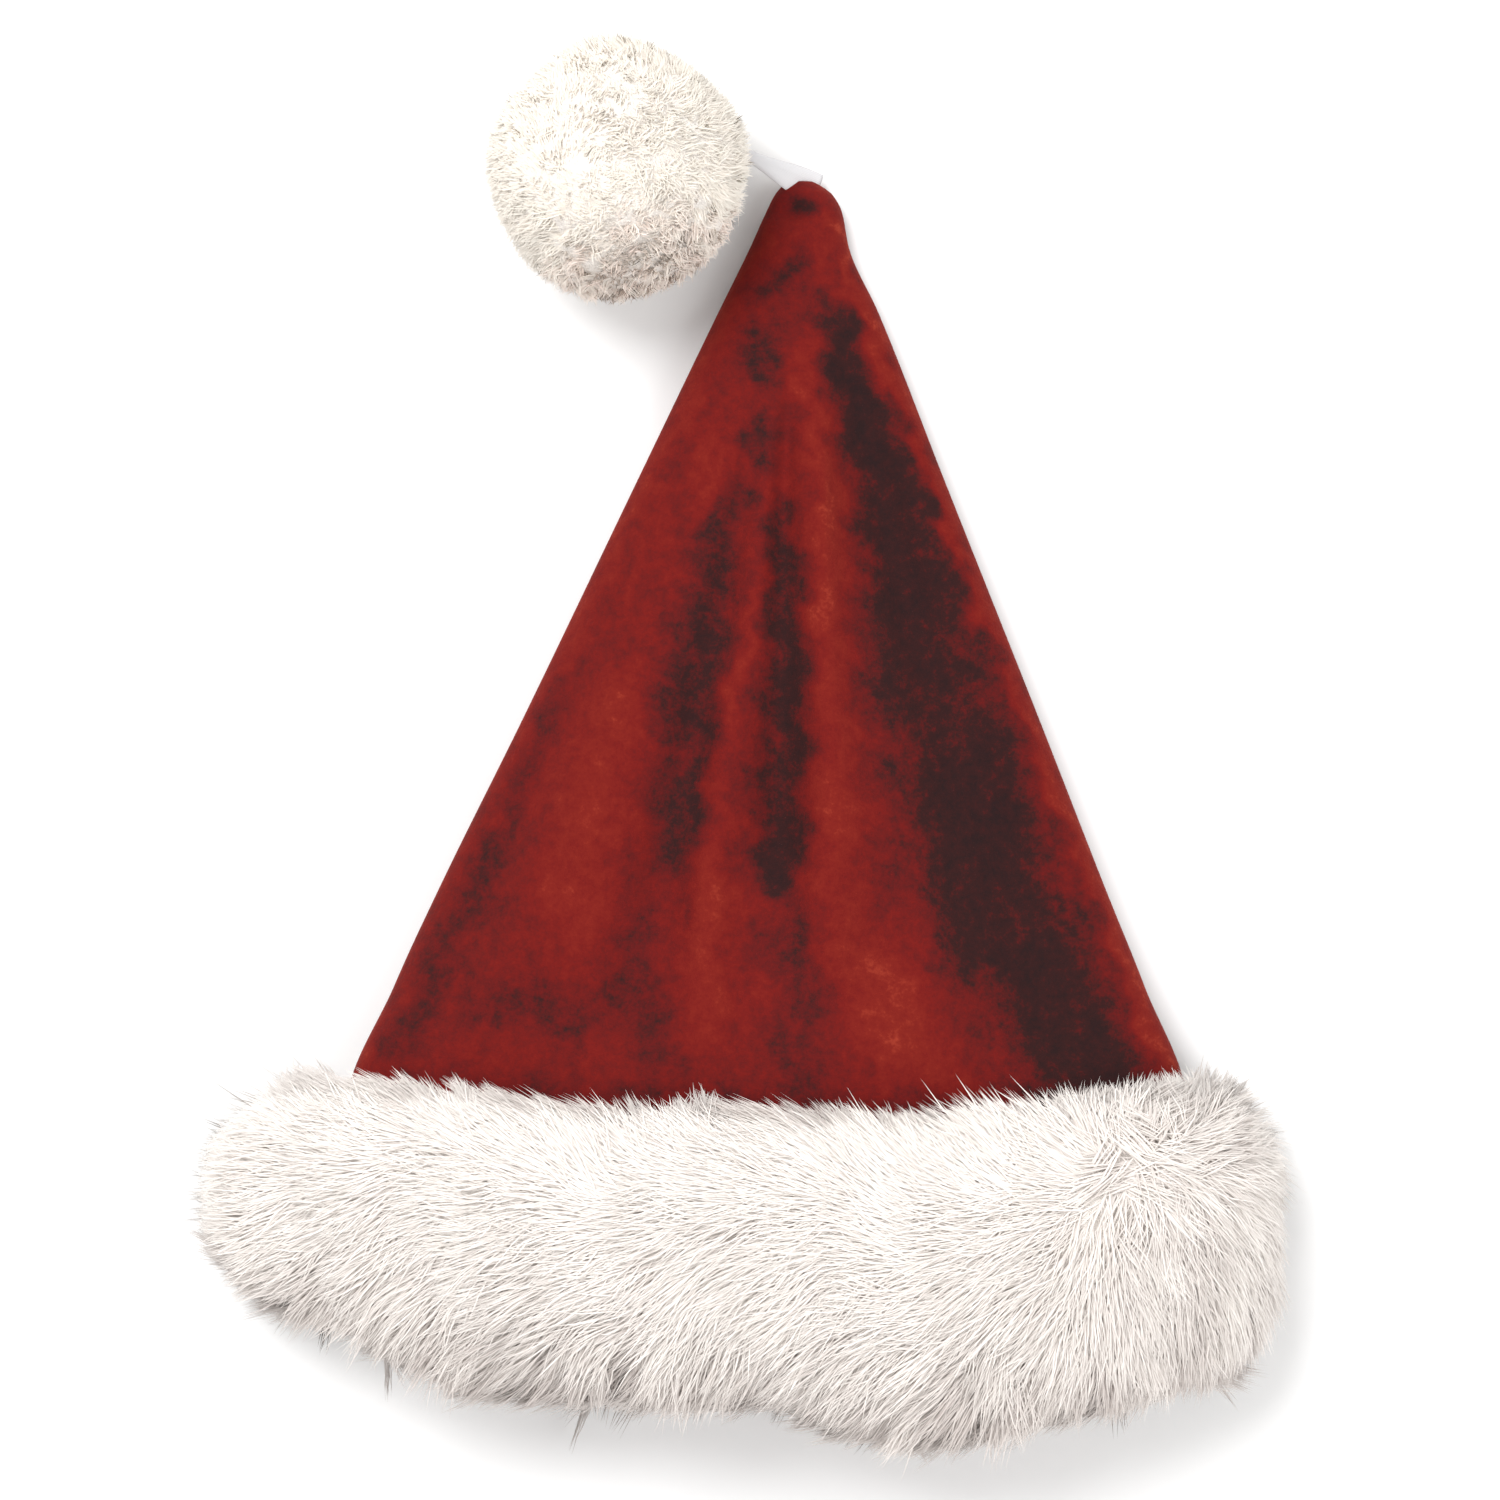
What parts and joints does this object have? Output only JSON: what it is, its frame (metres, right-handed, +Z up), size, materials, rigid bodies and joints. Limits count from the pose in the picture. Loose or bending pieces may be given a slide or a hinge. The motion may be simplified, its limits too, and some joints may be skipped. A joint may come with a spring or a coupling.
{
  "type": "santa hat",
  "caption": "Floppy conical plush hat lying on its back, with a deep fur cuff round its open mouth and a round pompom on a short tie at its tip.",
  "frame": {"origin": "centre of the footprint of the hat lying on its back, on the table", "axes": "+X across the mouth to the right seen from above, +Y from the mouth to the tip, +Z up"},
  "size_m": [0.3934, 0.5132, 0.0951],
  "materials": {
    "red_velour": "crushed pile",
    "white_fur": "long fur",
    "white_plush": "short tufted fur",
    "white_ribbon": "satin"
  },
  "bodies": {
    "root": {"crown": "red_velour", "fur_cuff": "white_fur", "pompom": "white_plush", "pompom_tie": "white_ribbon"}
  },
  "joints": []
}
